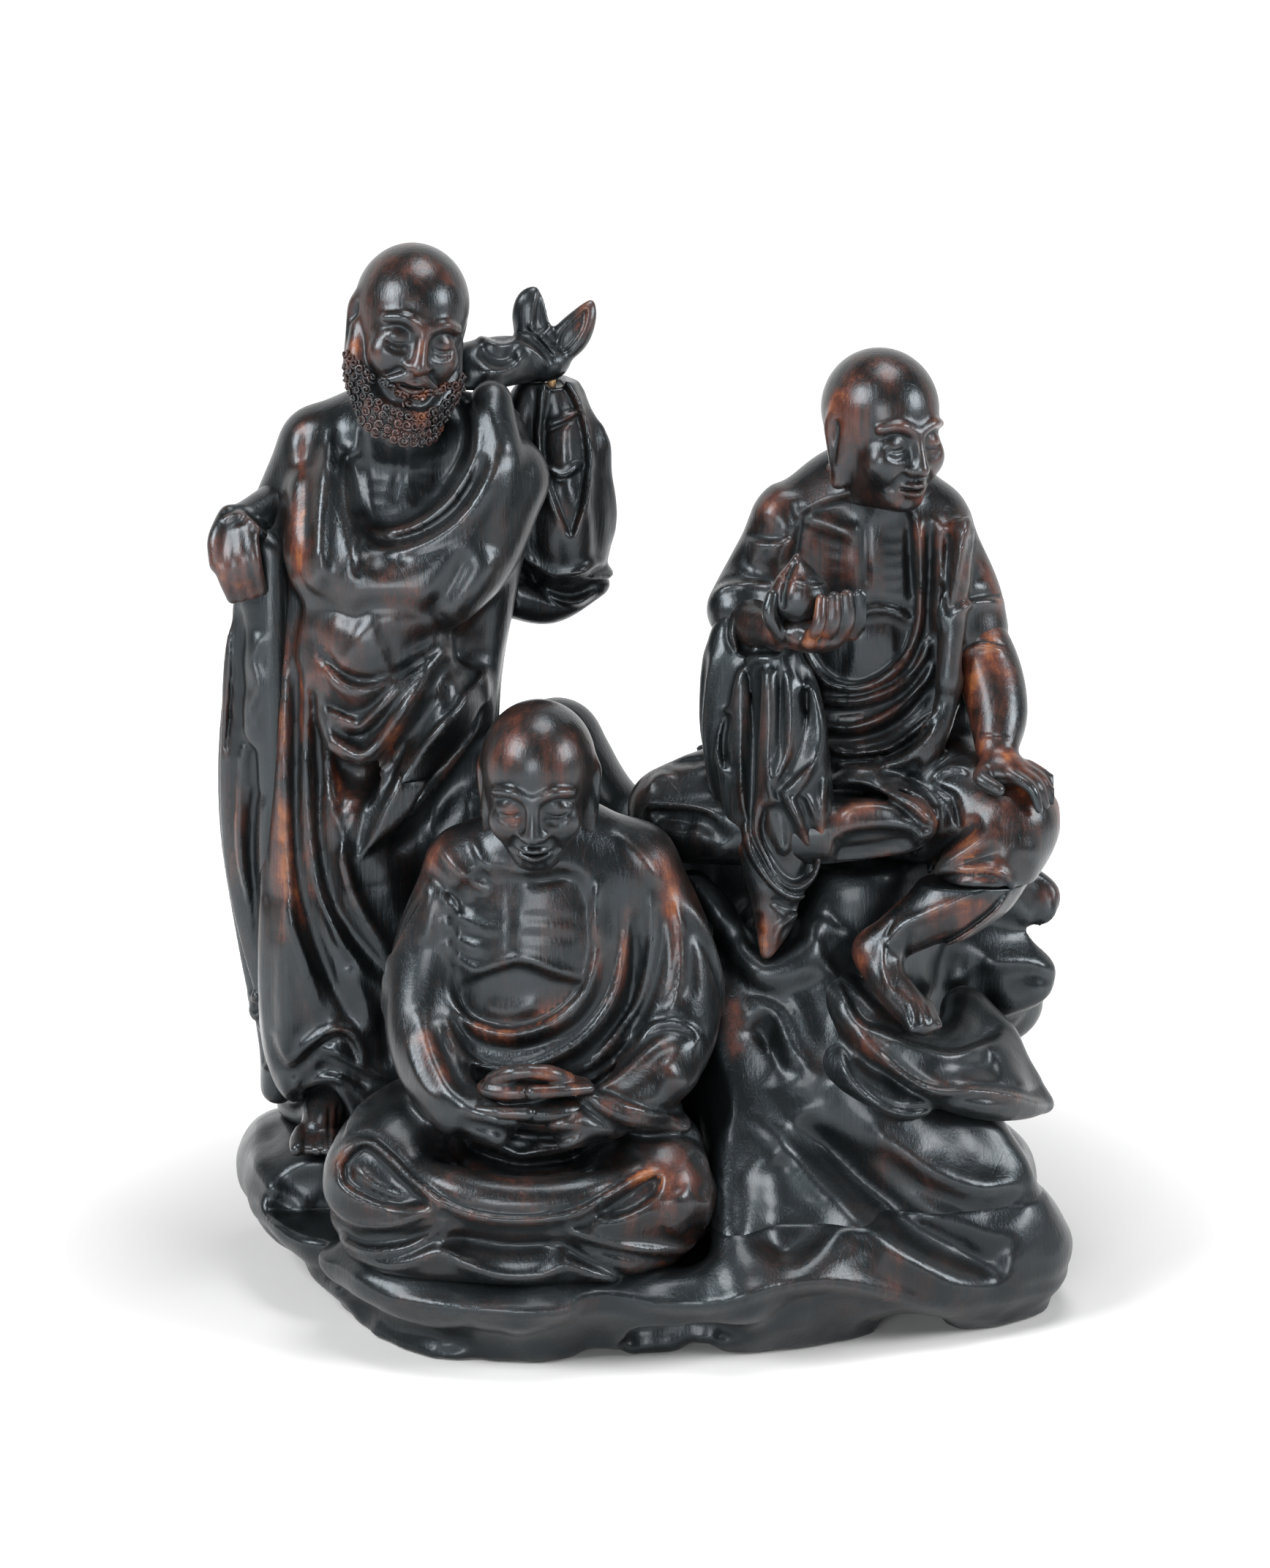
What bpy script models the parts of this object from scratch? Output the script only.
"""Carved wooden group of three monks on a rock, built up from separately carved blocks.

Each block is a set of round masses, the way a carver roughs out a figure, fused into one surface.
Blocks meet on flat glued faces or in pockets, and hidden round dowels pin them together.
"""
import math

import bmesh
import bpy
from mathutils import Euler, Matrix, Vector

MM = 0.001

# Rock, in millimetres
BASE_LENGTH = 312.0
BASE_DEPTH = 206.0
BASE_RIM_HEIGHT = 26.0
FRONT_SEAT_HEIGHT = 33.0
STANDING_LEDGE_HEIGHT = 56.0
CRAG_JOINT_HEIGHT = 48.0
CRAG_SEAT_HEIGHT = 163.0
LEDGE_LENGTH = 84.0
LEDGE_THICKNESS = 15.0

# Figures: across the shoulders, and from seat or feet to the root of the neck
FRONT_SHOULDER_WIDTH = 92.0
FRONT_TORSO_HEIGHT = 150.0
STANDING_SHOULDER_WIDTH = 92.0
STANDING_TORSO_HEIGHT = 268.0
SEATED_SHOULDER_WIDTH = 84.0
SEATED_TORSO_HEIGHT = 134.0
HEAD_WIDTH = 42.0
HEAD_DEPTH = 48.0
HEAD_HEIGHT = 58.0
BEARD_THICKNESS = 7.0

# Small carved pieces
PEACH_WIDTH = 20.0
PEACH_HEIGHT = 25.0
FINGER_THICKNESS = 5.4
SACK_WIDTH = 38.0
SACK_HEIGHT = 84.0
EAR_LENGTH = 27.0
FOOT_WIDTH = 16.0

# Joinery
GLUE_GAP = 0.3
SEAT_DOWEL_RADIUS = 4.0
SEAT_DOWEL_LENGTH = 34.0
NECK_DOWEL_RADIUS = 3.0
NECK_DOWEL_LENGTH = 26.0
SMALL_DOWEL_RADIUS = 1.6
SMALL_DOWEL_LENGTH = 13.0
DOWEL_END_GAP = 0.4
DOWEL_CHAMFER = 0.5

# Fineness of the carved surfaces
LARGE_GOUGE = 3.4
MIDDLE_GOUGE = 2.2
SMALL_GOUGE = 1.1
SPLINE_STEPS = 4
LIMB_SIDES = 14
CAP_RINGS = 3
BALL_DETAIL = 3
DOWEL_SIDES = 12
SMALL_DOWEL_SIDES = 8
STOCK_SIZE = 900.0

# Lacquered hardwood, its rubbed edges, and the bare wood of the dowels
DARK_WOOD = (0.020, 0.015, 0.014, 1.0)
RUBBED_WOOD = (0.110, 0.035, 0.016, 1.0)
BARE_WOOD = (0.330, 0.200, 0.100, 1.0)


# Empty scene and materials
for old in list(bpy.data.objects):
    bpy.data.objects.remove(old, do_unlink=True)


def wood(name, colour, roughness):
    material = bpy.data.materials.new(name)
    material.use_nodes = True
    shader = material.node_tree.nodes["Principled BSDF"]
    shader.inputs["Base Color"].default_value = colour
    shader.inputs["Roughness"].default_value = roughness
    shader.inputs["Metallic"].default_value = 0.0
    return material


ROBE_WOOD = wood("Lacquered robe wood", DARK_WOOD, 0.28)
SKIN_WOOD = wood("Rubbed skin wood", RUBBED_WOOD, 0.32)
ROCK_WOOD = wood("Lacquered rock wood", DARK_WOOD, 0.34)
PEG_WOOD = wood("Bare peg wood", BARE_WOOD, 0.6)


# A mass is a ball or a limb: a carver's rough form before the detail
class Ball:
    """An ellipsoid with three radii, turned about its own centre."""

    def __init__(self, centre, radii, turn):
        self.centre = centre
        self.radii = radii
        self.turn = turn

    def add_to(self, bm):
        size = Matrix.Diagonal((*self.radii, 1.0))
        place = Matrix.Translation(self.centre) @ self.turn.to_4x4() @ size
        bmesh.ops.create_icosphere(bm, subdivisions=BALL_DETAIL, radius=1.0, matrix=place)


class Limb:
    """A round tube with changing radius and round ends, along a smooth curve through its points."""

    def __init__(self, points, flat, turn):
        self.points = points
        self.flat = Matrix.Diagonal(flat)
        self.turn = turn

    def rings(self):
        stations = smooth_curve(self.points, SPLINE_STEPS)
        first, second = stations[0], stations[1]
        last, before = stations[-1], stations[-2]
        heading = (second[0] - first[0]).normalized()
        leaving = (last[0] - before[0]).normalized()
        rings = []
        for step in range(CAP_RINGS):
            angle = math.pi / 2 * (step + 0.35) / CAP_RINGS
            tip = first[0] - heading * first[1] * math.cos(angle)
            rings.append((tip, first[1] * math.sin(angle), first[0]))
        rings += [(place, radius, place) for place, radius in stations]
        for step in reversed(range(CAP_RINGS)):
            angle = math.pi / 2 * (step + 0.35) / CAP_RINGS
            tip = last[0] + leaving * last[1] * math.cos(angle)
            rings.append((tip, last[1] * math.sin(angle), last[0]))
        return rings

    def add_to(self, bm):
        rings = self.rings()
        squash = self.turn @ self.flat @ self.turn.transposed()
        side = None
        loops = []
        for index, (place, radius, anchor) in enumerate(rings):
            before = rings[max(index - 1, 0)][0]
            after = rings[min(index + 1, len(rings) - 1)][0]
            heading = (after - before).normalized()
            if side is None:
                side = heading.orthogonal().normalized()
            side = (side - heading * side.dot(heading)).normalized()
            across = heading.cross(side)
            loop = []
            for corner in range(LIMB_SIDES):
                angle = math.tau * corner / LIMB_SIDES
                spoke = (side * math.cos(angle) + across * math.sin(angle)) * radius
                loop.append(bm.verts.new(anchor + squash @ (place + spoke - anchor)))
            loops.append(loop)
        for one, two in zip(loops, loops[1:]):
            for corner in range(LIMB_SIDES):
                following = (corner + 1) % LIMB_SIDES
                bm.faces.new((one[corner], one[following], two[following], two[corner]))
        bm.faces.new(list(reversed(loops[0])))
        bm.faces.new(loops[-1])


class Slab:
    """A flat-topped slab between two heights, whose foot is drawn in from its rim."""

    def __init__(self, outline, low, high, foot):
        self.outline = outline
        self.low = low
        self.high = high
        self.foot = foot

    def add_to(self, bm):
        rim = [bm.verts.new((x, y, self.high)) for x, y in self.outline]
        foot = [bm.verts.new((x * self.foot, y * self.foot, self.low)) for x, y in self.outline]
        bm.faces.new(rim)
        bm.faces.new(list(reversed(foot)))
        for index in range(len(rim)):
            following = (index + 1) % len(rim)
            bm.faces.new((foot[index], foot[following], rim[following], rim[index]))


def smooth_curve(points, steps):
    """Stations (place, radius) on a Catmull-Rom curve through the points."""
    knots = [Vector((*place, radius)) for place, radius in points]
    if len(knots) == 2:
        steps = 2
    padded = [knots[0] * 2 - knots[1]] + knots + [knots[-1] * 2 - knots[-2]]
    stations = []
    for index in range(1, len(padded) - 2):
        a, b, c, d = padded[index - 1:index + 3]
        for step in range(steps):
            t = step / steps
            knot = (b * 2 + (c - a) * t + (a * 2 - b * 5 + c * 4 - d) * t ** 2
                    + (b * 3 - a - c * 3 + d) * t ** 3) / 2
            stations.append(knot)
    stations.append(knots[-1])
    return [(knot.xyz, max(knot.w, 0.5)) for knot in stations]


class Grid:
    """A carver's squared drawing over one block: placed, turned and stretched with that block's sizes."""

    def __init__(self, origin, across=1.0, deep=1.0, up=1.0, turn=(0, 0, 0)):
        self.origin = Vector(origin)
        self.stretch = Vector((across, deep, up))
        self.turn = Euler([math.radians(angle) for angle in turn]).to_matrix()

    def at(self, x, y, z):
        return self.origin + self.turn @ (Vector((x, y, z)) * self.stretch)

    def ball(self, centre, radii, lean=(0, 0, 0)):
        lean = Euler([math.radians(angle) for angle in lean]).to_matrix()
        return Ball(self.at(*centre), Vector(radii) * self.stretch, self.turn @ lean)

    def limb(self, points, flat=(1, 1, 1), lean=(0, 0, 0)):
        lean = Euler([math.radians(angle) for angle in lean]).to_matrix()
        return Limb([(self.at(x, y, z), r * self.stretch.x) for x, y, z, r in points], flat, self.turn @ lean)


# Flat-faced regions, each a convex stock cut by planes
class Stock:
    """The space inside some planes, each given by a point on it and the direction that leaves the space."""

    def __init__(self, *planes):
        self.planes = [(Vector(point), Vector(normal).normalized()) for point, normal in planes]

    def solid(self, grow):
        bm = bmesh.new()
        bmesh.ops.create_cube(bm, size=STOCK_SIZE)
        for point, normal in self.planes:
            geometry = bm.verts[:] + bm.edges[:] + bm.faces[:]
            bmesh.ops.bisect_plane(bm, geom=geometry, plane_co=point + normal * grow,
                                   plane_no=normal, clear_outer=True)
            edges = [edge for edge in bm.edges if edge.is_boundary]
            bmesh.ops.holes_fill(bm, edges=edges)
        bmesh.ops.recalc_face_normals(bm, faces=bm.faces)
        return block_from(bm, "stock")


def block_from(bm, name):
    """A new object holding this mesh, scaled from millimetres to metres."""
    bmesh.ops.scale(bm, vec=(MM, MM, MM), verts=bm.verts)
    mesh = bpy.data.meshes.new(name)
    bm.to_mesh(mesh)
    bm.free()
    block = bpy.data.objects.new(name, mesh)
    bpy.context.scene.collection.objects.link(block)
    return block


def settle(block):
    """Take a block's modifiers into its mesh, and keep the largest body that they leave."""
    depsgraph = bpy.context.evaluated_depsgraph_get()
    mesh = bpy.data.meshes.new_from_object(block.evaluated_get(depsgraph))
    block.modifiers.clear()
    spent = block.data
    block.data = mesh
    bpy.data.meshes.remove(spent)
    bm = bmesh.new()
    bm.from_mesh(mesh)
    islands = []
    waiting = set(bm.verts)
    while waiting:
        island = {waiting.pop()}
        edge_of_island = list(island)
        while edge_of_island:
            vertex = edge_of_island.pop()
            for edge in vertex.link_edges:
                other = edge.other_vert(vertex)
                if other in waiting:
                    waiting.remove(other)
                    island.add(other)
                    edge_of_island.append(other)
        islands.append(island)
    islands.sort(key=body_size)
    offcuts = [vertex for island in islands[:-1] for vertex in island]
    bmesh.ops.delete(bm, geom=offcuts, context="VERTS")
    bm.to_mesh(mesh)
    bm.free()


def body_size(island):
    """Diagonal of an island's box."""
    lows = [min(vertex.co[axis] for vertex in island) for axis in range(3)]
    highs = [max(vertex.co[axis] for vertex in island) for axis in range(3)]
    return (Vector(highs) - Vector(lows)).length


def carve(name, masses, gouge, faces, rounding=4):
    """Fuse the masses with a gouge of this width, round them, and keep about this many faces."""
    bm = bmesh.new()
    for mass in masses:
        mass.add_to(bm)
    block = block_from(bm, name)
    fuse = block.modifiers.new("Fuse", "REMESH")
    fuse.mode = "VOXEL"
    fuse.voxel_size = gouge * MM
    smooth = block.modifiers.new("Round", "SMOOTH")
    smooth.factor = 0.5
    smooth.iterations = rounding
    settle(block)
    thin = block.modifiers.new("Thin", "DECIMATE")
    thin.ratio = min(1.0, faces / (2.0 * len(block.data.polygons)))
    settle(block)
    return block


def cut(block, cutters, operation="DIFFERENCE"):
    """Cut a block with solids that are used once and thrown away."""
    for cutter in cutters:
        chisel = block.modifiers.new("Chisel", "BOOLEAN")
        chisel.operation = operation
        chisel.solver = "EXACT"
        chisel.object = cutter
        settle(block)
        bpy.data.objects.remove(cutter, do_unlink=True)


def keep_in(block, stocks):
    cut(block, [stock.solid(-GLUE_GAP / 2) for stock in stocks], "INTERSECT")


def clear_of(block, stocks):
    cut(block, [stock.solid(GLUE_GAP / 2) for stock in stocks])


def scoop_out(block, masses):
    """Cut hollows out of a block with round gouge strokes."""
    for mass in masses:
        bm = bmesh.new()
        mass.add_to(bm)
        cut(block, [block_from(bm, "gouge stroke")])


def fit_round(block, neighbours):
    """Pocket a block for finished neighbours, with the glue gap all round them."""
    cutters = []
    for neighbour in neighbours:
        cutter = neighbour.copy()
        cutter.data = neighbour.data.copy()
        bpy.context.scene.collection.objects.link(cutter)
        swell = cutter.modifiers.new("Glue gap", "DISPLACE")
        swell.mid_level = 0.0
        swell.strength = GLUE_GAP * MM
        cutters.append(cutter)
    cut(block, cutters)


def peg_solid(start, end, radius, chamfer, sides):
    """A round peg with chamfered ends."""
    axis = (end - start).normalized()
    length = (end - start).length
    profile = [(radius, 0.0), (radius, length)]
    if chamfer > 0.0:
        tip = radius - chamfer
        profile = [(tip, 0.0), (radius, chamfer), (radius, length - chamfer), (tip, length)]
    bm = bmesh.new()
    loops = []
    for out, along in profile:
        loop = []
        for corner in range(sides):
            angle = math.tau * corner / sides
            loop.append(bm.verts.new((out * math.cos(angle), out * math.sin(angle), along)))
        loops.append(loop)
    for one, two in zip(loops, loops[1:]):
        for corner in range(sides):
            following = (corner + 1) % sides
            bm.faces.new((one[corner], one[following], two[following], two[corner]))
    bm.faces.new(list(reversed(loops[0])))
    bm.faces.new(loops[-1])
    turn = Vector((0, 0, 1)).rotation_difference(axis).to_matrix().to_4x4()
    bmesh.ops.transform(bm, matrix=Matrix.Translation(start) @ turn, verts=bm.verts)
    return bm


def dowel(name, middle, axis, length, radius, sides, blocks):
    """Pin blocks together: bore them both in one pass, then make the peg."""
    half = Vector(axis).normalized() * length / 2
    over = half.normalized() * DOWEL_END_GAP
    for block in blocks:
        drill = peg_solid(middle - half - over, middle + half + over, radius + GLUE_GAP, 0.0, sides)
        cut(block, [block_from(drill, "drill")])
    peg = block_from(peg_solid(middle - half, middle + half, radius, DOWEL_CHAMFER, sides), name)
    finish(peg, PEG_WOOD)
    return peg


def finish(block, material):
    """Give a finished block its wood and shading, with flat joints left crisp."""
    block.data.materials.clear()
    block.data.materials.append(material)
    block.data.shade_smooth()
    block.data.set_sharp_from_angle(angle=math.radians(40))


# Squared drawings: the rock's own, then one for each figure, stretched from the sizes they were drawn at
DRAWN_BASE = (312.0, 206.0)
DRAWN_CRAG_HEIGHT = 163.0
DRAWN_FRONT = (92.0, 150.0)
DRAWN_STANDING = (92.0, 268.0)
DRAWN_SEATED = (84.0, 134.0)
DRAWN_HEAD = (42.0, 48.0, 58.0)

rock_spread = BASE_LENGTH / DRAWN_BASE[0]
rock_depth = BASE_DEPTH / DRAWN_BASE[1]
ground = Grid((0, 0, 0), rock_spread, rock_depth)
crag = Grid((0, 0, 0), rock_spread, rock_depth, CRAG_SEAT_HEIGHT / DRAWN_CRAG_HEIGHT)

front_seat = ground.at(-38, -40, FRONT_SEAT_HEIGHT)
standing_feet = ground.at(-93, 20, STANDING_LEDGE_HEIGHT)
crag_seat = ground.at(86, 30, CRAG_SEAT_HEIGHT)

front_across = FRONT_SHOULDER_WIDTH / DRAWN_FRONT[0]
standing_across = STANDING_SHOULDER_WIDTH / DRAWN_STANDING[0]
seated_across = SEATED_SHOULDER_WIDTH / DRAWN_SEATED[0]
front = Grid(front_seat, front_across, 1.0, FRONT_TORSO_HEIGHT / DRAWN_FRONT[1])
standing = Grid(standing_feet, standing_across, 1.0, STANDING_TORSO_HEIGHT / DRAWN_STANDING[1])
seated = Grid(crag_seat, seated_across, 1.0, SEATED_TORSO_HEIGHT / DRAWN_SEATED[1])

head_stretch = (HEAD_WIDTH / DRAWN_HEAD[0], HEAD_DEPTH / DRAWN_HEAD[1], HEAD_HEIGHT / DRAWN_HEAD[2])
front_head = Grid(front.at(3.5, -10, 173), *head_stretch, turn=(14, 0, -4))
standing_head = Grid(standing.at(12, -16, 306), *head_stretch, turn=(8, 12, 18))
seated_head = Grid(seated.at(4, -24, 161), *head_stretch, turn=(6, 0, 34))

# The glued faces that part one block from the next
ROBE_BACK = Stock(
    (front.at(0, 0, 0), (0, 0, -1)),
    (front.at(0, 0, 167), (0, 0, 1)),
    (front.at(-2, 35, 0), (-0.16, 0.99, 0)),
    (front.at(72, -5, 0), (0.8, 0.6, 0)),
    (front.at(74, 0, 0), (1, 0, 0)),
)
STANDING_LEDGE = Stock((standing_feet, (0, 0, -1)))
STANDING_PLOT = Stock(
    (standing_feet, (0, 0, -1)),
    (standing.at(46, 0, 0), (1, 0, 0)),
    (standing.at(0, -42, 0), (0, -1, 0)),
)
CRAG_PLOT = Stock(
    ((0, 0, CRAG_JOINT_HEIGHT), (0, 0, -1)),
    (standing.at(46, 0, 0), (-1, 0, 0)),
    (crag.at(0, 0, 226), (0, 0, 1)),
)
CRAG_SEAT = Stock(
    (crag_seat, (0, 0, -1)),
    (crag_seat + Vector((-56, 10, 0)), (-0.6, 0.8, 0)),
)
GROUND = Stock(((0, 0, -GLUE_GAP / 2), (0, 0, -1)))


# Heads: skull, jaw, nose, brow and long ears, on a neck that ends in a flat glued face
NECK_FOOT = -27.0
NECK_SEAT = 9.0


def head_masses(grid):
    masses = [
        grid.ball((0, 3, 7), (20.5, 23, 22)),
        grid.ball((0, -5, -9), (16, 16.5, 19)),
        grid.ball((0, -14, -22), (9, 7, 6)),
        grid.limb([(0, 2, -12, 13), (0, 4, -40, 13)]),
        grid.limb([(0, -20.5, 2, 1.8), (0, -23.5, -7, 3.2)]),
        grid.limb([(-11, -18, 3, 2.6), (0, -21, 3.5, 2.2), (11, -18, 3, 2.6)]),
    ]
    for side in (-1, 1):
        ear = [(side * 19.5, 3, 4, 4.4), (side * 20, 2, -8, 3.4), (side * 18.5, 1, -17, 3.6)]
        masses.append(grid.limb(ear, flat=(0.6, 1, 1)))
        masses.append(grid.ball((side * 16.5, 1, -9), (4.5, 5, 12)))
        masses.append(grid.ball((side * 7.5, -17, -4), (5, 4, 3)))
    return masses


def neck_face(grid):
    return Stock((grid.at(0, 0, NECK_FOOT), grid.turn @ Vector((0, 0, -1))))


def neck_seat(grid):
    """The room that a neck takes in its body: a square pit down to the glued face."""
    planes = [(grid.at(0, 0, NECK_FOOT), grid.turn @ Vector((0, 0, -1)))]
    for x, y in ((1, 0), (-1, 0), (0, 1), (0, -1)):
        planes.append((grid.at(x * NECK_SEAT, y * NECK_SEAT, 0), grid.turn @ Vector((x, y, 0))))
    return Stock(*planes)


def carve_head(name, grid, extra=()):
    head = carve(name, head_masses(grid) + list(extra), gouge=SMALL_GOUGE * 1.3, faces=400, rounding=3)
    keep_in(head, [neck_face(grid)])
    return head


def beard(grid, thick):
    """A short fringe of beard round the jaw, with a moustache above it."""
    return [
        grid.limb([(-18, 0, -4, thick * 0.7), (-16, -7, -16, thick * 0.9), (-8, -15, -27, thick),
                   (0, -18, -31, thick * 1.2), (8, -15, -27, thick), (16, -7, -16, thick * 0.9),
                   (18, 0, -4, thick * 0.7)]),
        grid.limb([(-9, -19, -17, 2), (0, -21.5, -13, 2.4), (9, -19, -17, 2)]),
    ]


front_monk_head = carve_head("front_monk_head", front_head)
standing_monk_head = carve_head("standing_monk_head", standing_head, beard(standing_head, BEARD_THICKNESS))
seated_monk_head = carve_head("seated_monk_head", seated_head)


# Hands: a palm with four fingers and a thumb, each a small limb
def fingers(grid, knuckles, bends, tips, thick):
    """Four fingers from a row of knuckles, over a row of bends, to a row of tips."""
    masses = []
    for finger in range(4):
        share = finger / 3
        points = [Vector(row[0]).lerp(Vector(row[1]), share) for row in (knuckles, bends, tips)]
        girth = thick / 2 * (1.0 - 0.1 * abs(finger - 1.5))
        masses.append(grid.limb([(*points[0], girth * 1.15), (*points[1], girth), (*points[2], girth * 0.8)]))
    return masses


# Peach, held up by the seated monk: a round fruit with a pointed tip
peach_middle = seated.at(-28, -55, 107)
peach_grid = Grid(peach_middle, PEACH_WIDTH / 20.0, PEACH_WIDTH / 20.0, PEACH_HEIGHT / 25.0)
peach = carve("peach", [
    peach_grid.ball((0, 0, -2), (10, 9.5, 9.5)),
    peach_grid.limb([(0, 0, 2, 7), (0, 0, 8, 4), (0, 0, 14, 1)]),
], gouge=SMALL_GOUGE, faces=100, rounding=2)

# Offering arm: the bare forearm that comes out of the sleeve, and the hand under the peach
offering_arm = carve("offering_arm", [
    seated.limb([(-46, -22, 93, 8.5), (-42, -36, 91, 8.5), (-34, -48, 91, 7.5)]),
    seated.ball((-22, -56, 92), (13, 9, 7)),
    *fingers(seated, ((-24, -65, 91), (-8, -56, 92)), ((-21, -69, 98), (-5, -60, 99)),
             ((-20, -67, 107), (-6, -61, 108)), FINGER_THICKNESS * 1.1),
    seated.limb([(-34, -58, 93, 3.4), (-38, -61, 100, 3), (-37, -60, 107, 2.4)]),
], gouge=SMALL_GOUGE * 1.2, faces=320, rounding=2)
fit_round(offering_arm, [peach])

# Knee arm: the other forearm, bare from the sleeve's band to the hand laid on the knee
knee_arm = carve("knee_arm", [
    seated.limb([(38, -18, 88, 10.5), (44, -24, 72, 12), (47, -33, 58, 11), (46, -42, 47, 8)]),
    seated.ball((48, -50, 41), (9.5, 8.5, 6), lean=(20, 14, 0)),
    *fingers(seated, ((50, -57, 40), (57, -46, 41)), ((57, -61, 36), (64, -48, 37)),
             ((60, -62, 28), (68, -47, 30)), FINGER_THICKNESS),
    seated.limb([(41, -52, 41, 3.4), (39, -59, 39, 3.2), (45, -63, 36, 2.8)]),
], gouge=SMALL_GOUGE * 1.2, faces=320, rounding=2)

# Hanging sleeve: the cloth that falls from the offering arm in long folds
hanging_sleeve = carve("hanging_sleeve", [
    seated.limb([(-47, -30, 84, 12), (-46, -33, 68, 14), (-42, -40, 42, 16), (-33, -50, 17, 15),
                 (-30, -54, 3, 9)], flat=(1, 0.8, 1)),
    seated.limb([(-34, -44, 83, 8), (-28, -48, 57, 10), (-26, -53, 27, 12)]),
    seated.limb([(-54, -32, 78, 4), (-55, -36, 50, 5), (-46, -46, 18, 5), (-38, -58, 0, 4)]),
    seated.limb([(-40, -44, 82, 4), (-38, -53, 50, 4.5), (-32, -62, 14, 4)]),
    seated.limb([(-40, -56, -4, 5), (-38, -60, -24, 3)]),
], gouge=MIDDLE_GOUGE, faces=300, rounding=3)
fit_round(hanging_sleeve, [offering_arm])

# Lower leg: shin in its robe, bare calf, ankle and foot, glued up under the knee
lower_leg = carve("lower_leg", [
    seated.limb([(48, -42, 14, 18), (40, -52, 1, 16), (30, -55, -8, 14)]),
    seated.limb([(40, -51, -2, 13), (24, -56, -11, 11.5), (8, -58, -21, 8.5), (2, -58, -26, 8)]),
    seated.limb([(2, -57, -26, 8), (6, -66, -35, 7.5), (14, -74, -43, 6.5), (18, -79, -47, 5)]),
    *fingers(seated, ((10, -74, -42), (20, -72, -42)), ((13, -79, -45), (22, -76, -45)),
             ((14, -83, -48), (24, -79, -48)), FINGER_THICKNESS),
], gouge=MIDDLE_GOUGE * 0.8, faces=300, rounding=3)
clear_of(lower_leg, [CRAG_SEAT])

# Seated monk: torso, thighs, sleeve and shoulder cloth in one block, flat under the seat
seated_monk_body = carve("seated_monk_body", [
    seated.limb([(-4, 4, 12, 40), (-3, 2, 42, 36), (-2, -4, 77, 35), (-2, -8, 112, 34), (-2, -8, 125, 29)],
                flat=(1, 0.72, 1)),
    seated.limb([(-28, -12, 124, 15), (0, -10, 133, 16), (21, -12, 124, 16)]),
    seated.ball((3, -21, 138), (14, 13, 13)),
    seated.limb([(-28, -12, 123, 15), (-40, -12, 103, 14), (-47, -22, 94, 13)]),
    seated.limb([(21, -12, 123, 16), (33, -14, 99, 15.5), (37, -16, 85, 15)]),
    seated.limb([(24, -8, 100, 14), (28, -8, 62, 15), (28, -6, 26, 18)]),
    seated.limb([(9, 0, 17, 30), (32, -24, 21, 25), (50, -42, 19, 19)]),
    seated.limb([(50, -44, 17, 19), (40, -52, 1, 16)]),
    seated.limb([(-16, 0, 15, 28), (-51, -20, 21, 22), (-72, -26, 19, 17)]),
    seated.limb([(-66, -34, 15, 14), (-26, -48, 17, 13), (9, -52, 19, 10), (18, -58, 21, 6)]),
    seated.limb([(33, -30, 125, 5), (22, -40, 96, 4.5), (8, -40, 72, 4.5), (-18, -36, 62, 4.5)]),
    seated.limb([(28, -34, 92, 4), (16, -38, 62, 4), (-10, -38, 46, 4), (-24, -36, 46, 4)]),
    seated.limb([(30, -32, 70, 5), (20, -38, 44, 5), (-12, -40, 32, 5)]),
], gouge=LARGE_GOUGE * 0.85, faces=860, rounding=4)
keep_in(seated_monk_body, [CRAG_SEAT])
clear_of(seated_monk_body, [neck_seat(seated_head)])
fit_round(seated_monk_body, [seated_monk_head, offering_arm, knee_arm, hanging_sleeve])

# Bundle: a sack tied at its neck, hung behind the standing monk's shoulder
bundle = Grid(standing.at(59, 26, 287), SACK_WIDTH / 38.0, 1.0, SACK_HEIGHT / 84.0)
SACK_MOUTH = Stock((bundle.at(0, 0, -7), (0, 0, 1)))
SHOULDER_FACE = Stock(
    (standing.at(44, 17, 0), (-0.8, -0.6, 0)),
    (standing.at(0, 0, 175), (0, 0, -1)),
)
ear_up = EAR_LENGTH / 27.0
EAR_FLAT = (1, 0.6, 1)
bundle_knot = carve("bundle_knot", [
    bundle.limb([(-25, -16, -2, 12), (-14, -8, 1, 10), (-2, -1, 1, 8)]),
    bundle.ball((1, 0, 0), (9, 8, 7)),
    bundle.limb([(1, 0, 2, 5), (-4, 0, 12 * ear_up, 7), (-5, 0, 21 * ear_up, 6), (-3, 0, 27 * ear_up, 2)],
                flat=EAR_FLAT),
    bundle.limb([(3, 0, 2, 5), (10, 1, 9 * ear_up, 7), (15, 2, 16 * ear_up, 5), (18, 3, 22 * ear_up, 2)],
                flat=EAR_FLAT),
], gouge=MIDDLE_GOUGE * 0.8, faces=260, rounding=3)
clear_of(bundle_knot, [SACK_MOUTH])
fit_round(bundle_knot, [standing_monk_head])
bundle_sack = carve("bundle_sack", [
    bundle.ball((7, 6, -55), (19, 24, 37), lean=(0, -4, 0)),
    bundle.ball((-14, -2, -54), (14, 16, 28)),
    bundle.limb([(-12, -1, -44, 12), (-10, -1, -29, 10.5), (-5, -1, -14, 8)]),
    bundle.limb([(8, 5, -32, 16), (5, 2, -15, 11), (1, 0, -2, 7)]),
    bundle.limb([(-14, -8, -87, 8), (2, 2, -91, 8.5), (19, 4, -84, 6)]),
], gouge=MIDDLE_GOUGE, faces=260, rounding=4)
keep_in(bundle_sack, [SACK_MOUTH, SHOULDER_FACE])

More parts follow.
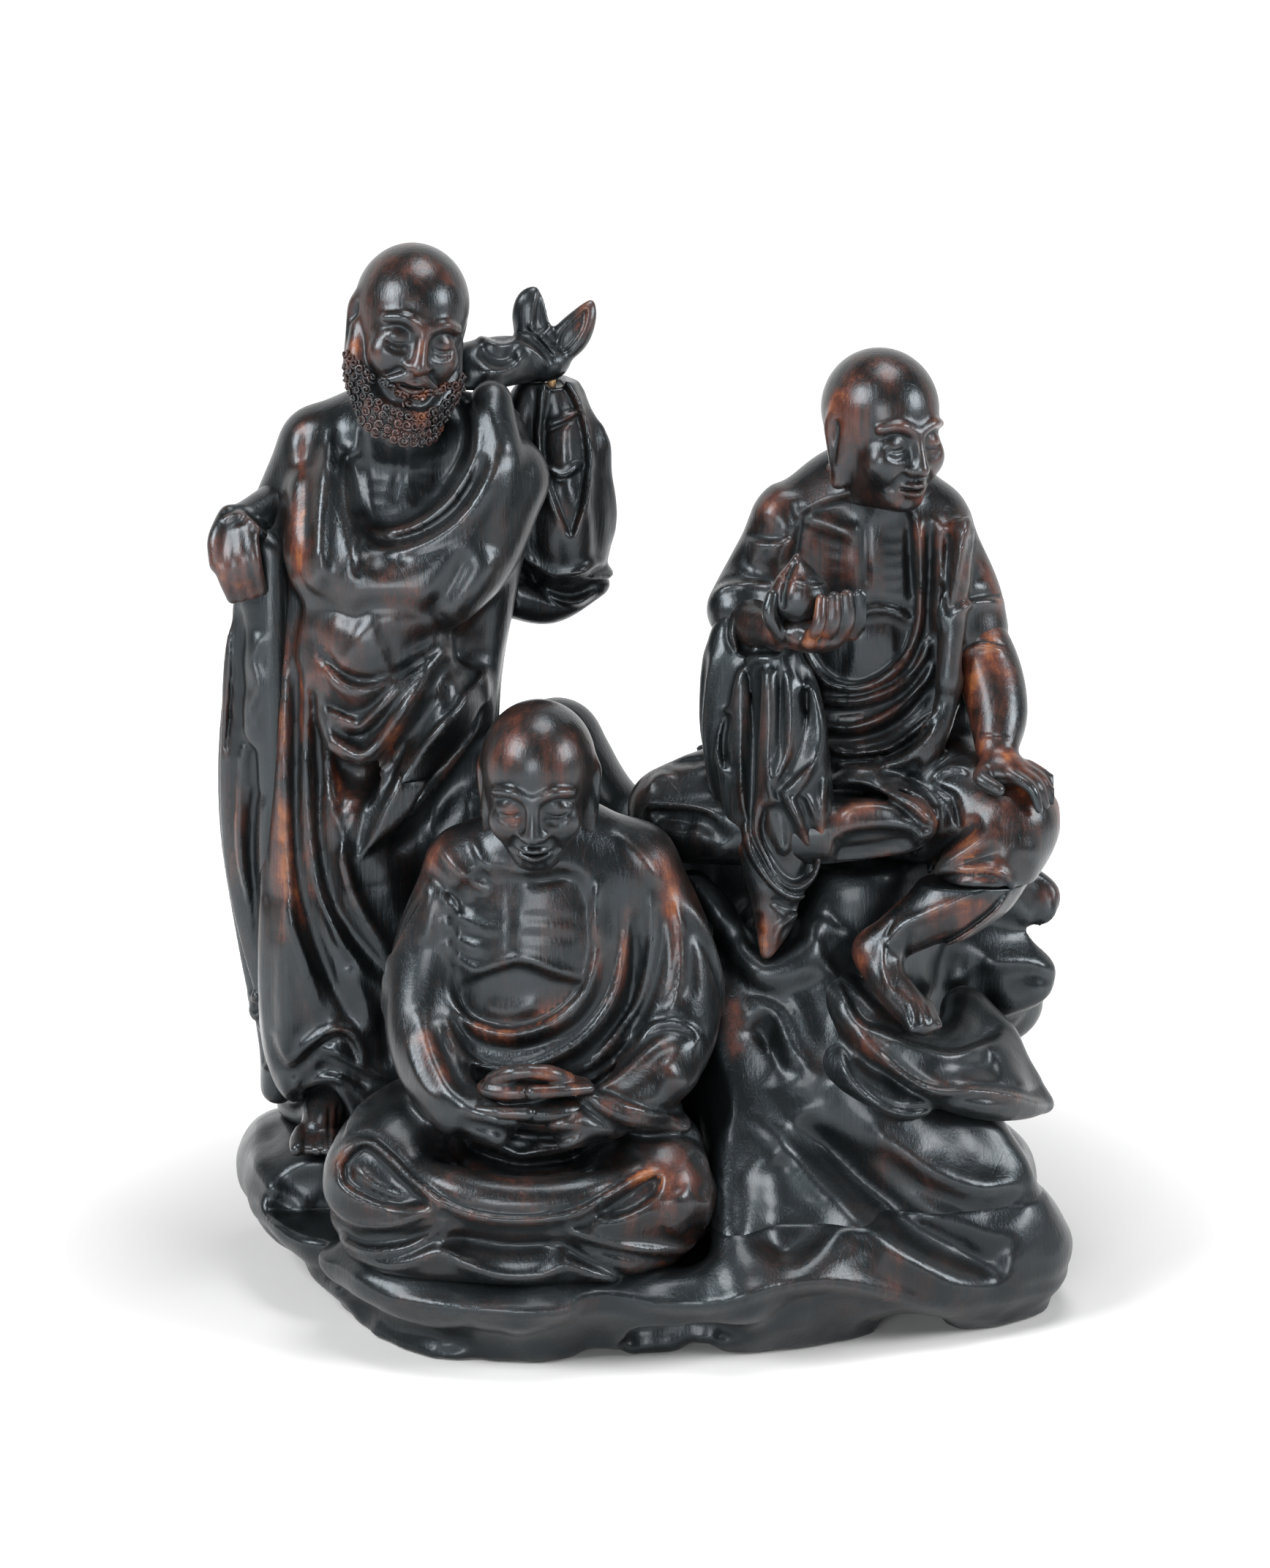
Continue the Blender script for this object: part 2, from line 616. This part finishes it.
# Standing monk's free hand, which grips the hanging cloth
standing_monk_hand = carve("standing_monk_hand", [
    standing.limb([(-38, -2, 238, 9), (-46, -14, 235, 8)]),
    standing.ball((-51, -20, 230), (9.5, 8.5, 11)),
    *fingers(standing, ((-56, -26, 230), (-46, -28, 234)), ((-56, -31, 219), (-44, -32, 223)),
             ((-53, -28, 208), (-42, -28, 211)), FINGER_THICKNESS * 1.1),
    standing.limb([(-54, -22, 238, 3.6), (-58, -27, 230, 3.4), (-58, -30, 221, 3)]),
], gouge=SMALL_GOUGE * 1.2, faces=280, rounding=2)

# Hanging cloth: the long end of the robe, held in that hand and falling to the hem
hanging_cloth = carve("hanging_cloth", [
    standing.limb([(-43, -14, 226, 8), (-46, -12, 184, 10), (-49, -8, 144, 11), (-49, -8, 109, 11),
                   (-44, -4, 64, 10), (-41, -2, 34, 9), (-43, -2, 14, 7)], flat=(1, 1.3, 1)),
    standing.limb([(-38, -20, 224, 5), (-40, -22, 180, 6), (-40, -20, 130, 7), (-38, -18, 70, 6),
                   (-37, -16, 22, 5)]),
], gouge=MIDDLE_GOUGE * 1.2, faces=260, rounding=3)
fit_round(hanging_cloth, [standing_monk_hand])

# Bare foot at the hem of the standing monk's robe
foot = FOOT_WIDTH / 16.0
standing_monk_foot = carve("standing_monk_foot", [
    standing.limb([(-20, -6, 10, 9 * foot), (-24, -22, 7, 8 * foot), (-26, -32, 4, 6 * foot)]),
    *fingers(standing, ((-31, -34, 4), (-21, -35, 4)), ((-32, -38, 3), (-21, -40, 3)),
             ((-32, -42, 1), (-21, -44, 1)), FINGER_THICKNESS),
], gouge=SMALL_GOUGE * 1.2, faces=180, rounding=2)
keep_in(standing_monk_foot, [STANDING_LEDGE])

# Standing monk: the column of the robe, the rolled collar and the crossing sleeve in one tall block
standing_monk_body = carve("standing_monk_body", [
    standing.limb([(-4, 10, 6, 41), (-6, 10, 64, 39), (-5, 8, 124, 37), (-3, 6, 174, 36), (3, 2, 219, 37),
                   (6, 4, 249, 32)], flat=(1, 0.75, 1)),
    standing.limb([(-21, 2, 260, 15), (5, -2, 265, 18), (37, 4, 261, 17)]),
    standing.ball((9, -12, 270), (17, 16, 18)),
    standing.limb([(-19, -14, 244, 15), (-15, -24, 214, 18), (5, -28, 200, 20), (29, -22, 220, 19),
                   (45, -10, 249, 17)]),
    standing.limb([(-7, -18, 184, 24), (11, -22, 170, 22)]),
    standing.limb([(41, -12, 278, 8), (43, -24, 254, 9), (29, -32, 228, 8), (3, -36, 216, 6)]),
    standing.limb([(-23, 0, 258, 15), (-34, 4, 236, 14), (-39, -6, 228, 12)]),
    standing.limb([(-25, -6, 234, 14), (-29, -10, 184, 16), (-31, -12, 134, 18), (-28, -16, 84, 20),
                   (-30, -18, 44, 18), (-32, -20, 20, 12)]),
    standing.limb([(39, 0, 224, 14), (31, 2, 174, 13), (25, 0, 124, 17), (21, -8, 74, 20),
                   (15, -15, 34, 20)]),
    standing.limb([(-24, -24, 192, 5), (-5, -35, 174, 5), (16, -30, 192, 5)]),
    standing.limb([(-20, -27, 166, 5), (-7, -34, 152, 5), (8, -32, 168, 5), (22, -24, 190, 5)]),
    standing.limb([(34, -12, 176, 5), (16, -26, 152, 6), (2, -34, 132, 6), (-9, -37, 112, 4)]),
    standing.limb([(-28, 17, 212, 4), (-28, 26, 150, 5), (-28, 32, 80, 5), (-26, 32, 14, 5)]),
    standing.limb([(-5, 28, 212, 4), (-7, 33, 150, 5), (-4, 37, 80, 5), (-6, 37, 14, 5)]),
    standing.limb([(18, 26, 212, 4), (18, 28, 150, 5), (20, 31, 80, 5), (18, 31, 14, 5)]),
    standing.limb([(-36, 8, 205, 4), (-40, 10, 150, 5), (-42, 12, 80, 5), (-42, 12, 20, 5)]),
    standing.limb([(36, 6, 205, 4), (33, 9, 150, 5), (34, 12, 80, 5), (32, 12, 20, 5)]),
    standing.limb([(-7, -10, 120, 24), (-8, -14, 60, 24), (-8, -14, 8, 24)]),
    standing.limb([(-10, -34, 96, 5), (-6, -37, 50, 5), (-10, -36, 8, 6)]),
    standing.limb([(12, -28, 84, 6), (15, -32, 44, 6), (12, -32, 6, 6)]),
], gouge=LARGE_GOUGE, faces=1020, rounding=4)
keep_in(standing_monk_body, [STANDING_LEDGE])
clear_of(standing_monk_body, [ROBE_BACK, CRAG_PLOT, SHOULDER_FACE, neck_seat(standing_head)])
fit_round(standing_monk_body, [standing_monk_head, bundle_knot, standing_monk_hand, hanging_cloth,
                               standing_monk_foot])

# Front monk's hands, one laid on the other in the lap
front_monk_hands = carve("front_monk_hands", [
    front.ball((4, -41, 62), (17, 10, 5.5)),
    front.ball((-4, -42, 70), (14, 9, 5)),
    *fingers(front, ((0, -50, 63), (2, -36, 62)), ((-12, -49, 63), (-10, -36, 62)),
             ((-22, -44, 63), (-20, -36, 63)), FINGER_THICKNESS),
    *fingers(front, ((2, -51, 71), (0, -37, 70)), ((13, -49, 71), (12, -37, 71)),
             ((22, -44, 70), (20, -37, 70)), FINGER_THICKNESS),
    front.limb([(-12, -44, 73, 3.2), (-6, -48, 77, 3), (0, -49, 78, 2.6)]),
    front.limb([(14, -44, 73, 3.2), (8, -48, 77, 3), (2, -49, 78, 2.6)]),
], gouge=SMALL_GOUGE * 1.2, faces=280, rounding=2)

# Front monk: torso, arms and crossed legs under the robe in one block, flat beneath
front_monk_body = carve("front_monk_body", [
    front.ball((-2, -5, 15), (66, 44, 22)),
    front.ball((-4, -12, 11), (70, 46, 13)),
    front.limb([(-24, 15, 37, 24), (-46, -12, 35, 23), (-56, -26, 31, 19)]),
    front.limb([(18, 15, 37, 24), (40, -12, 33, 23), (48, -26, 27, 20)]),
    front.limb([(-54, -30, 27, 15), (-28, -44, 27, 13), (-4, -48, 25, 13), (22, -46, 25, 13),
                (46, -32, 25, 15)]),
    front.limb([(0, 6, 42, 42), (3, 6, 77, 40), (5, 6, 112, 38), (7, 6, 135, 30)], flat=(1, 0.72, 1)),
    front.limb([(-22, 6, 138, 15), (6, 4, 146, 16), (36, 6, 137, 17)]),
    front.ball((5, 0, 153), (15, 14, 14)),
    front.limb([(-22, 6, 136, 16), (-36, 2, 107, 14), (-38, -10, 79, 14), (-28, -32, 62, 11),
                (-12, -42, 57, 9)]),
    front.limb([(36, 8, 136, 18), (50, 4, 107, 17), (52, -6, 79, 16), (38, -28, 62, 12), (16, -42, 56, 9)]),
    front.limb([(-22, -24, 132, 4), (-16, -32, 100, 4), (2, -36, 86, 4), (18, -32, 100, 4),
                (25, -24, 132, 4)]),
    front.limb([(-24, -30, 96, 4), (2, -40, 78, 4), (28, -28, 96, 4)]),
    front.limb([(-50, -34, 40, 6), (-22, -50, 34, 7), (4, -54, 31, 7), (28, -50, 32, 7), (46, -38, 36, 6)]),
], gouge=LARGE_GOUGE, faces=940, rounding=4)
keep_in(front_monk_body, [ROBE_BACK])
clear_of(front_monk_body, [neck_seat(front_head)])
fit_round(front_monk_body, [front_monk_head, front_monk_hands])

# Leaf ledge: the thin shelf of rock under the seated monk's foot
ledge = Grid(crag.at(71, -40, 129), LEDGE_LENGTH / 84.0, 1.0, 1.0)
ledge_flat = LEDGE_THICKNESS / 15.0 * 0.55
leaf_ledge = carve("leaf_ledge", [
    ledge.limb([(5, 20, -7, 12), (21, 6, -23, 18), (45, 0, -37, 20), (67, 8, -47, 12), (81, 16, -52, 2)],
               flat=(1, 1, ledge_flat), lean=(0, 20, 0)),
    ledge.limb([(3, 18, -17, 8), (9, 0, -33, 12), (27, -4, -43, 12)], flat=(1, 1, 0.6)),
    ledge.limb([(52, 34, -20, 7), (62, 24, -29, 7), (73, 19, -42, 5), (81, 16, -52, 1.5)]),
    ledge.limb([(51, 28, -21, 8), (48, 14, -27, 9), (45, 4, -33, 10)]),
    ledge.limb([(62, 23, -30, 7), (60, 14, -35, 8), (58, 6, -40, 8)]),
], gouge=MIDDLE_GOUGE, faces=260, rounding=3)
fit_round(leaf_ledge, [lower_leg])

# Crag: the rock that carries the seated monk and rises to a peak behind the front one
crag_masses = [
    crag.limb([(62, 45, 160, 48), (60, 40, 110, 50), (62, 35, 60, 58)], flat=(1, 0.9, 1)),
    crag.limb([(98, 38, 150, 36), (106, 42, 110, 34), (100, 44, 60, 35)]),
    crag.limb([(-30, 64, 194, 17), (-30, 62, 140, 35), (-20, 55, 80, 45)]),
    crag.limb([(-30, 64, 190, 16), (-8, 58, 161, 18), (25, 50, 150, 22)]),
    crag.limb([(60, 0, 120, 30), (75, -20, 85, 30), (105, -35, 55, 26), (135, -35, 35, 20),
               (146, -30, 24, 16)]),
    crag.limb([(30, -10, 110, 22), (40, -30, 70, 24), (70, -50, 40, 20), (110, -50, 30, 14)]),
    crag.limb([(118, 30, 150, 22), (142, 24, 145, 13), (152, 22, 143, 9)]),
    crag.limb([(120, 30, 118, 26), (146, 20, 112, 14), (155, 20, 112, 4)]),
    crag.limb([(118, 46, 96, 27), (139, 42, 97, 19)]),
    crag.limb([(84, 8, 150, 24), (90, 8, 118, 24)]),
    crag.limb([(20, -10, 161, 5), (30, -15, 150, 6), (40, -22, 136, 6), (50, -28, 129, 6), (60, -25, 134, 6),
               (67, -14, 147, 5), (73, -4, 160, 5)]),
    crag.limb([(96, 72, 165, 6), (90, 80, 120, 7), (100, 78, 70, 7)]),
    crag.limb([(64, 88, 160, 6), (60, 85, 115, 7), (70, 86, 66, 7)]),
    crag.limb([(40, 84, 162, 6), (32, 84, 115, 7), (40, 88, 64, 7)]),
    crag.limb([(0, 82, 160, 6), (8, 84, 110, 7), (4, 92, 64, 7)]),
    crag.limb([(-26, 80, 190, 5), (-30, 95, 140, 6), (-22, 97, 84, 6)]),
    crag.limb([(44, -31, 71, 9), (61, -41, 58, 10), (77, -49, 44, 10), (94, -56, 31, 10), (112, -59, 19, 10),
               (132, -55, 12, 10)]),
    crag.limb([(81, -36, 62, 8), (97, -44, 52, 9), (112, -48, 42, 9), (132, -48, 31, 10), (145, -44, 20, 10)]),
    crag.limb([(100, -16, 88, 20), (118, -26, 74, 16), (133, -36, 62, 10), (142, -40, 55, 4)]),
    crag.limb([(42, -58, 44, 14), (58, -66, 38, 13), (76, -68, 32, 12)]),
]
rear_crag = carve("rear_crag", crag_masses, gouge=LARGE_GOUGE * 1.1, faces=740, rounding=5)
keep_in(rear_crag, [CRAG_PLOT])
clear_of(rear_crag, [ROBE_BACK, CRAG_SEAT])
fit_round(rear_crag, [lower_leg, hanging_sleeve, leaf_ledge])

# Base: the low rock that everything stands on, undercut with broad gouge cuts at its foot and flat beneath
UNDERCUTS = [Stock((ground.at(x, y, 0), (across, deep, up))) for x, y, across, deep, up in (
    (-104, -52, 0.62, 0.34, 0.70),
    (-128, 20, 0.72, 0.10, 0.68),
    (-60, -90, 0.15, 0.75, 0.62),
    (22, -80, -0.12, 0.74, 0.66),
    (118, -62, -0.30, 0.76, 0.58),
)]
foot_outline = [
    (-92, -78), (-70, -93), (-45, -92), (-20, -95), (2, -82), (27, -76), (52, -91), (64, -87), (86, -58),
    (130, -57), (150, -45), (158, -10), (152, 50), (120, 92), (60, 108), (-10, 104), (-70, 86), (-120, 68),
    (-146, 46), (-132, 20), (-112, -20), (-104, -52),
]
rock_base = carve("rock_base", [
    Slab([tuple(ground.at(x, y, 0).xy) for x, y in foot_outline], -6.0, BASE_RIM_HEIGHT - 8, 0.97),
    ground.limb([(-106, -62, 30, 9), (-84, -85, 27, 8), (-60, -92, 25, 8), (-34, -93, 25, 8), (-20, -88, 29, 7),
                 (-8, -82, 31, 7), (8, -79, 27, 8), (27, -77, 26, 8), (44, -84, 30, 8), (64, -82, 33, 8),
                 (82, -72, 32, 8), (100, -64, 26, 9), (126, -52, 17, 11), (144, -42, 14, 11)]),
    ground.ball((-22, -24, 14), (100, 74, 24)),
    ground.ball((60, -10, 12), (98, 76, 24)),
    ground.ball((-92, 25, 24), (58, 50, 38)),
    ground.ball((70, 50, 20), (88, 62, 40)),
    ground.limb([(-132, 32, 34, 22), (-126, 0, 36, 20), (-110, -34, 30, 17)]),
    *crag_masses,
], gouge=LARGE_GOUGE * 1.1, faces=850, rounding=4)
keep_in(rock_base, [GROUND])
clear_of(rock_base, UNDERCUTS)
scoop_out(rock_base, [
    ground.limb([(-16, -112, -3, 10), (-10, -70, -7, 9)]),
    ground.limb([(26, -106, -3, 10), (23, -66, -7, 9)]),
    ground.limb([(98, -100, 0, 17), (102, -52, -5, 13)]),
])
clear_of(rock_base, [ROBE_BACK, STANDING_PLOT, CRAG_PLOT])
fit_round(rock_base, [standing_monk_foot])

# Dowels: two under each seat, one in each neck, and small ones for the small pieces
UP = Vector((0, 0, 1))


def seat_dowels(name, places, blocks):
    for index, place in enumerate(places):
        title = f"{name}_{index + 1}"
        dowel(title, place, UP, SEAT_DOWEL_LENGTH, SEAT_DOWEL_RADIUS, DOWEL_SIDES, blocks)


def neck_dowel(name, grid, blocks):
    place = grid.at(0, 0, NECK_FOOT)
    dowel(name, place, grid.turn @ UP, NECK_DOWEL_LENGTH, NECK_DOWEL_RADIUS, DOWEL_SIDES, blocks)


def small_dowel(name, middle, axis, *blocks):
    dowel(name, middle, axis, SMALL_DOWEL_LENGTH, SMALL_DOWEL_RADIUS, SMALL_DOWEL_SIDES, blocks)


crag_foot = Grid((0, 0, CRAG_JOINT_HEIGHT), rock_spread, rock_depth)
seat_dowels("front_seat_dowel", [front.at(-26, 4, 0), front.at(24, 4, 0)], [front_monk_body, rock_base])
seat_dowels("standing_seat_dowel", [standing.at(-22, 8, 0), standing.at(14, 12, 0)],
            [standing_monk_body, rock_base])
seat_dowels("crag_dowel", [crag_foot.at(20, 45, 0), crag_foot.at(96, 35, 0)], [rear_crag, rock_base])
seat_dowels("seated_seat_dowel", [seated.at(-14, 6, 0), seated.at(18, 4, 0)], [seated_monk_body, rear_crag])
neck_dowel("front_neck_dowel", front_head, [front_monk_head, front_monk_body])
neck_dowel("standing_neck_dowel", standing_head, [standing_monk_head, standing_monk_body])
neck_dowel("seated_neck_dowel", seated_head, [seated_monk_head, seated_monk_body])
small_dowel("knot_dowel", bundle.at(3, 1, -7), UP, bundle_knot, bundle_sack)
small_dowel("bundle_dowel", standing.at(47, 13, 232), (0.8, 0.6, 0), bundle_sack, standing_monk_body)
small_dowel("hanging_cloth_dowel", standing.at(-38, -9, 115), (1, 0, 0), hanging_cloth, standing_monk_body)
small_dowel("standing_hand_dowel", standing.at(-34, 5, 238), (0.6, 0.9, 0), standing_monk_hand,
            standing_monk_body)
small_dowel("standing_foot_dowel", standing.at(-23, -20, 0), UP, standing_monk_foot, rock_base)
small_dowel("lap_hands_dowel", front.at(-14, -42, 60), (1, 0, 0), front_monk_hands, front_monk_body)
small_dowel("knee_arm_dowel", seated.at(36, -16, 97), (-0.25, 0.1, 1), knee_arm, seated_monk_body)
small_dowel("offering_arm_dowel", seated.at(-46, -14, 93), (0.1, 1, 0), offering_arm, seated_monk_body)
small_dowel("lower_leg_dowel", seated.at(43, -49, 0), UP, lower_leg, seated_monk_body)
small_dowel("peach_peg", seated.at(-27, -55, 97), UP, peach, offering_arm)
small_dowel("leaf_ledge_dowel", crag.at(88, -17, 103), (0, 1, 0), leaf_ledge, rear_crag)

# Finish
for block in (rock_base, rear_crag, leaf_ledge):
    finish(block, ROCK_WOOD)
for block in (front_monk_body, standing_monk_body, seated_monk_body, hanging_cloth, hanging_sleeve,
              bundle_sack, bundle_knot):
    finish(block, ROBE_WOOD)
for block in (front_monk_head, standing_monk_head, seated_monk_head, front_monk_hands, standing_monk_hand,
              standing_monk_foot, offering_arm, knee_arm, lower_leg, peach):
    finish(block, SKIN_WOOD)
